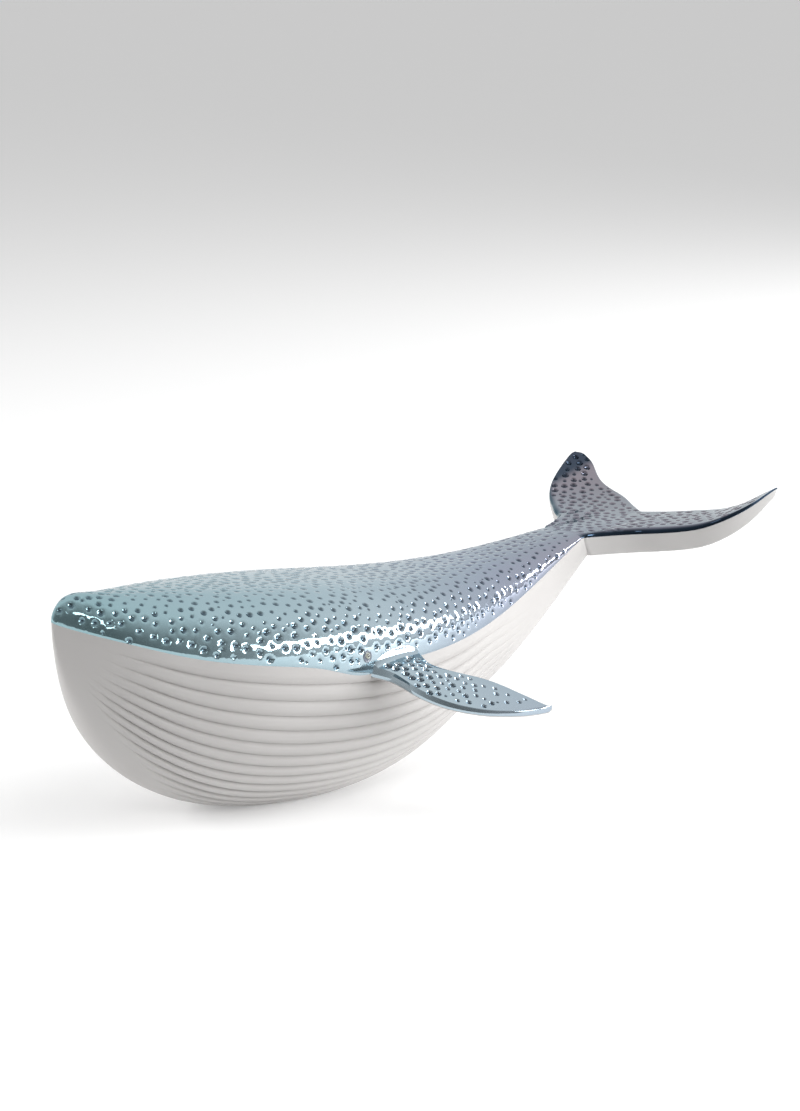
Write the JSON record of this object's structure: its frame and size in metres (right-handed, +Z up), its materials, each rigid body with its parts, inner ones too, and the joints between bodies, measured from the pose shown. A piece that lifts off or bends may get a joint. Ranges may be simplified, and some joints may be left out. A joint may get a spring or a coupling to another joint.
{
  "type": "whale figurine",
  "caption": "Free-standing porcelain whale figurine with a dimpled glazed back, a pleated matte belly, swept flippers and raised flukes.",
  "frame": {"origin": "centre of the flat foot under the belly", "axes": "+Z up, +X from the foot towards the tail with the head at -X, -Y the whale's left side"},
  "size_m": [0.5047, 0.2912, 0.1509],
  "materials": {
    "bisque": "matte unglazed porcelain",
    "glaze": "gloss teal to grey-blue glaze",
    "eye": "gloss dark brown glaze"
  },
  "bodies": {
    "root": {"belly_shell": "bisque", "back_shell": "glaze", "tail_flukes": "glaze", "left_flipper": "glaze", "right_flipper": "glaze", "left_eye": "eye", "right_eye": "eye"}
  },
  "joints": []
}
